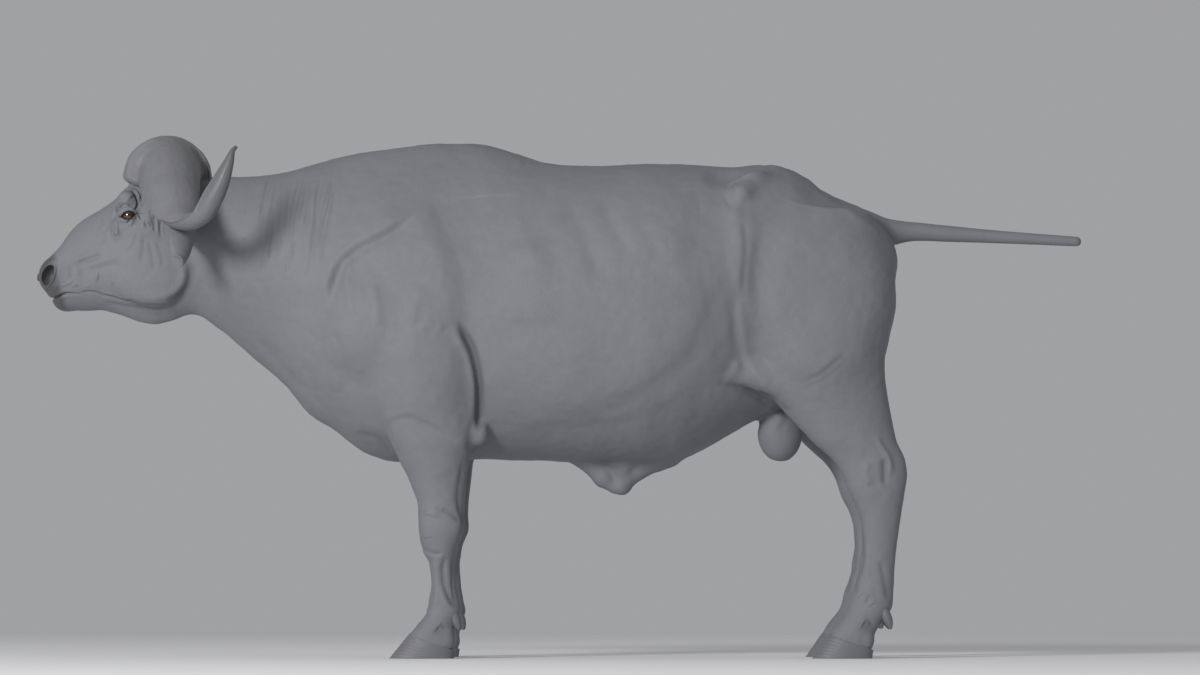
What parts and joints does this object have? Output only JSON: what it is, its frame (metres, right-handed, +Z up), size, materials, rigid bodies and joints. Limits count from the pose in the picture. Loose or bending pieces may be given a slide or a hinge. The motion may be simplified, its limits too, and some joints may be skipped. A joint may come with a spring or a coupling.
{
  "type": "african buffalo",
  "caption": "Life-size still model of an African buffalo bull standing square, with a broad horn boss, hooked horns, drooping ears, cloven hooves and a tail held straight out behind.",
  "frame": {"origin": "on the floor, midway between the muzzle and the tip of the tail, in the middle plane of the body", "axes": "+X runs towards the tail and -X towards the muzzle, +Z is up, and the animal's left side is towards -Y"},
  "size_m": [3.254, 0.9918, 1.628],
  "materials": {
    "hide": "matte slate-grey hide, bare and lightly creased",
    "horn": "ribbed and pitted grey horn, smoother at the points",
    "hoof": "dull dark grey hoof",
    "eye": "wet dark brown eye"
  },
  "bodies": {
    "root": {"head": "hide", "horn_left": "horn", "ear_left": "hide", "eye_left": "eye", "horn_right": "horn", "ear_right": "hide", "eye_right": "eye", "neck": "hide", "tail": "hide", "sheath": "hide", "scrotum": "hide", "foreleg_left": "hide", "foreleg_hoof_inner_left": "hoof", "foreleg_dewclaw_inner_left": "hoof", "foreleg_hoof_outer_left": "hoof", "foreleg_dewclaw_outer_left": "hoof", "foreleg_right": "hide", "foreleg_hoof_inner_right": "hoof", "foreleg_dewclaw_inner_right": "hoof", "foreleg_hoof_outer_right": "hoof", "foreleg_dewclaw_outer_right": "hoof", "hindleg_left": "hide", "hindleg_hoof_inner_left": "hoof", "hindleg_dewclaw_inner_left": "hoof", "hindleg_hoof_outer_left": "hoof", "hindleg_dewclaw_outer_left": "hoof", "hindleg_right": "hide", "hindleg_hoof_inner_right": "hoof", "hindleg_dewclaw_inner_right": "hoof", "hindleg_hoof_outer_right": "hoof", "hindleg_dewclaw_outer_right": "hoof", "torso": "hide"}
  },
  "joints": []
}
